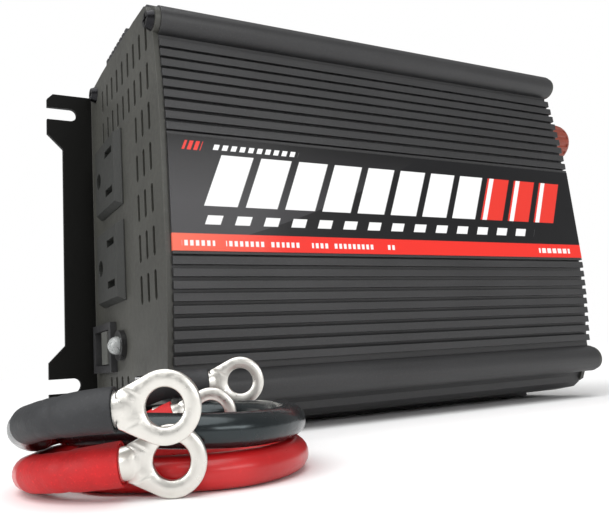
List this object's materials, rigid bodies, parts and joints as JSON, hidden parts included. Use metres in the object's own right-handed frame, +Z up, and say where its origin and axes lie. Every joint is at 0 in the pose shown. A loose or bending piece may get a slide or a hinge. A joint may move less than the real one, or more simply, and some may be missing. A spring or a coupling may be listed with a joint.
{
  "type": "power inverter",
  "caption": "Compact power inverter in a finned case with an outlet panel, fan, screw terminals, mounting flanges and loose ring-lug battery leads.",
  "frame": {"origin": "middle of the inverter's footprint, with the case standing on its long finned side and its leads left out", "axes": "+X along the case from the outlet panel to the terminal panel, +Y from the label face to the mounting plane, +Z up"},
  "size_m": [0.2162, 0.1368, 0.123],
  "materials": {
    "case_coat": "satin charcoal coat on extruded aluminium",
    "panel_coat": "satin dark grey coat on sheet steel",
    "plate_metal": "mill finish",
    "label_print": "gloss printed film",
    "black_screws": "black oxide",
    "outlet_plastic": "grained moulding",
    "contact_metal": "tin plated spring metal",
    "switch_plastic": "moulded",
    "rocker_plastic": "fine grained moulding",
    "lens_plastic": "frosted clear moulding",
    "usb_metal": "nickel plated",
    "tongue_plastic": "moulded",
    "board_green": "solder resist",
    "fan_plastic": "glass filled moulding",
    "guard_wire": "plated wire",
    "brass_parts": "plain",
    "zinc_parts": "zinc plated",
    "red_plastic": "moulded",
    "black_plastic": "moulded",
    "copper_bar": null,
    "insulator_paper": "pressed board",
    "ferrite": "sintered",
    "winding_wire": null,
    "capacitor_film": "printed sleeve",
    "package_black": "moulded",
    "pad_grey": "soft pad",
    "fuse_amber": "clear tinted moulding",
    "toroid_yellow": "painted powder iron",
    "wire_red": "flexible insulation",
    "lead_black": "glossy flexible insulation",
    "lead_red": "glossy flexible insulation",
    "sleeve_black": "matte heat-shrink",
    "sleeve_red": "matte heat-shrink",
    "lug_tin": null
  },
  "bodies": {
    "case": {"heatsink_shell": "case_coat", "base_plate": "plate_metal", "front_panel": "panel_coat", "rear_panel": "panel_coat", "label_plate": "label_print", "front_panel_screws": "black_screws", "rear_panel_screws": "black_screws", "outlet_upper": "outlet_plastic", "outlet_lower": "outlet_plastic", "outlet_contacts": "contact_metal", "switch_housing": "switch_plastic", "led_bezel": "switch_plastic", "led_lens": "lens_plastic", "usb_shell": "usb_metal", "usb_tongue": "tongue_plastic", "usb_board": "board_green", "fan_frame": "fan_plastic", "fan_guard": "guard_wire", "fan_screws": "black_screws", "terminal_studs": "brass_parts", "terminal_nuts": "zinc_parts", "positive_terminal_base": "red_plastic", "negative_terminal_base": "black_plastic", "ground_screw": "brass_parts", "dc_busbars": "copper_bar", "circuit_board": "board_green", "board_standoffs": "brass_parts", "board_screws": "zinc_parts", "insulator_sheet": "insulator_paper", "transformer_cores": "ferrite", "transformer_windings": "winding_wire", "capacitors": "capacitor_film", "mosfets": "package_black", "thermal_pads": "pad_grey", "clamp_bars": "zinc_parts", "clamp_screws": "zinc_parts", "fuse_holders": "black_plastic", "fuses": "fuse_amber", "inductor_core": "toroid_yellow", "inductor_winding": "winding_wire", "control_board": "board_green", "buzzer": "black_plastic", "internal_wires": "wire_red", "black_lead": "lead_black", "red_lead": "lead_red", "black_sleeve_front": "sleeve_black", "black_sleeve_back": "sleeve_black", "red_sleeve_front": "sleeve_red", "red_sleeve_back": "sleeve_red", "black_lug_front": "lug_tin", "black_lug_back": "lug_tin", "red_lug_front": "lug_tin", "red_lug_back": "lug_tin"},
    "rocker": {"switch_rocker": "rocker_plastic"},
    "fan": {"fan_rotor": "fan_plastic"},
    "positive_clamp": {"positive_washer": "zinc_parts"},
    "positive_cap": {"positive_knob": "red_plastic"},
    "negative_clamp": {"negative_washer": "zinc_parts"},
    "negative_cap": {"negative_knob": "black_plastic"}
  },
  "joints": [
    {"name": "rocker_tilt", "type": "hinge", "parent": "case", "child": "rocker", "pos_m": [-0.0783, 0.02105, 0.0254], "axis": [0, 0, 1], "range_deg": [0, 22]},
    {"name": "fan_spin", "type": "hinge", "parent": "case", "child": "fan", "pos_m": [0.0662, 0.00235, 0.0615], "axis": [1, 0, 0], "continuous": true},
    {"name": "positive_clamp_slide", "type": "slide", "parent": "case", "child": "positive_clamp", "axis": [1, 0, 0], "range_m": [0, 0.0049]},
    {"name": "positive_knob_spin", "type": "hinge", "parent": "positive_clamp", "child": "positive_cap", "pos_m": [0.0794, -0.01815, 0.0953], "axis": [1, 0, 0], "range_deg": [0, 2160]},
    {"name": "negative_clamp_slide", "type": "slide", "parent": "case", "child": "negative_clamp", "axis": [1, 0, 0], "range_m": [0, 0.0049]},
    {"name": "negative_knob_spin", "type": "hinge", "parent": "negative_clamp", "child": "negative_cap", "pos_m": [0.0794, 0.00985, 0.0953], "axis": [1, 0, 0], "range_deg": [0, 2160]}
  ],
  "couplings": [
    {"joint": "positive_clamp_slide", "follows": "positive_knob_spin", "m_per_rad": 0.00012732},
    {"joint": "negative_clamp_slide", "follows": "negative_knob_spin", "m_per_rad": 0.00012732}
  ]
}
